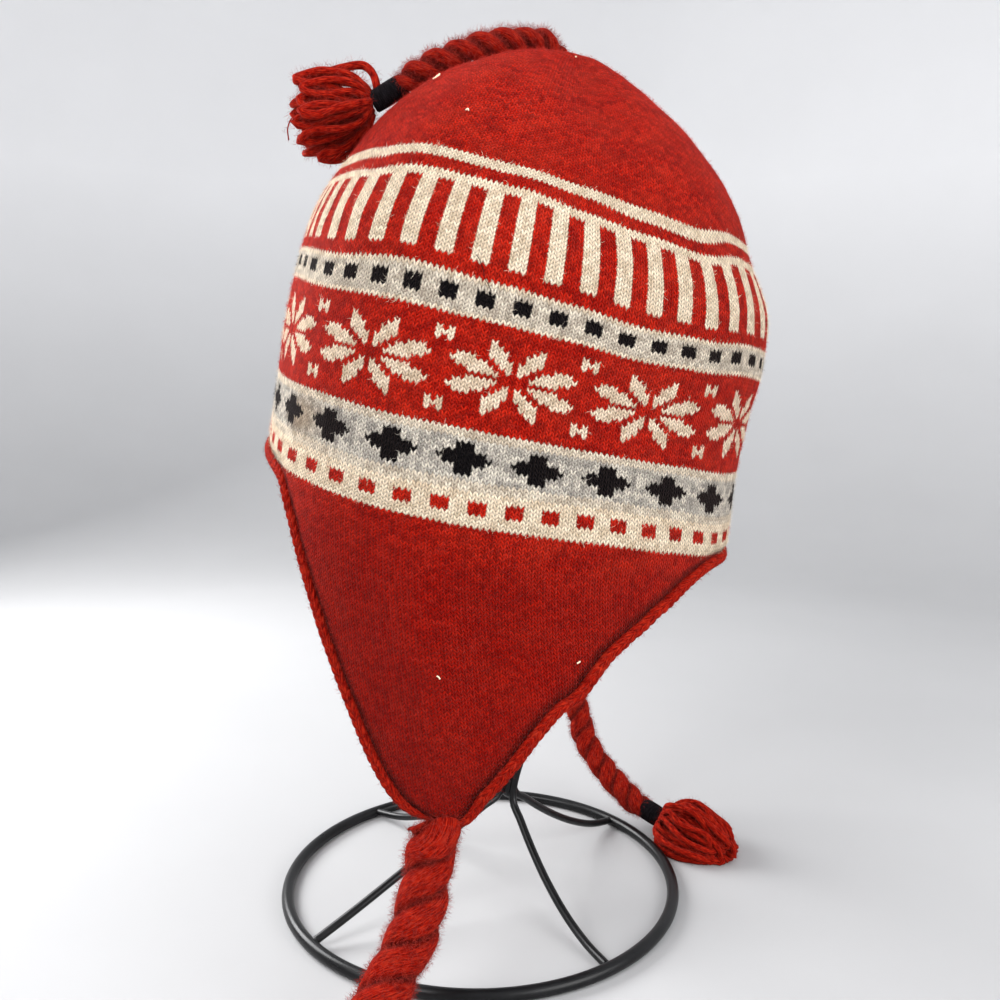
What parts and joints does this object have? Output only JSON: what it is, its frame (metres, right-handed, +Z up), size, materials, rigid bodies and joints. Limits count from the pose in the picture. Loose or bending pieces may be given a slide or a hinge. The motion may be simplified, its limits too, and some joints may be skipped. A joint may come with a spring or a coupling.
{
  "type": "earflap beanie on wire hat stand",
  "caption": "Knitted wool earflap beanie with a banded pattern, tie cords with tassels and a crown cord, hung on a black wire hat stand.",
  "frame": {"origin": "on the floor under the middle of the hat and stand, cords left out", "axes": "+Z up, the near earflap towards -Y, the far one towards +Y, the front of the hat towards -X"},
  "size_m": [0.227, 0.2778, 0.3387],
  "materials": {
    "red_knit": "felted fine knit with a banded pattern in cream and grey",
    "red_yarn": "twisted and looped wool yarn",
    "black_yarn": "tightly wound thread",
    "black_wire": "semi-gloss black coating"
  },
  "bodies": {
    "root": {"hat_body": "red_knit", "edge_trim": "red_yarn", "wire_stand": "black_wire", "near_tie": "red_yarn", "far_tie": "red_yarn", "top_cord": "red_yarn", "near_tie_tassel": "red_yarn", "far_tie_tassel": "red_yarn", "top_cord_tassel": "red_yarn", "near_tie_wrap": "black_yarn", "far_tie_wrap": "black_yarn", "top_cord_wrap": "black_yarn"}
  },
  "joints": []
}
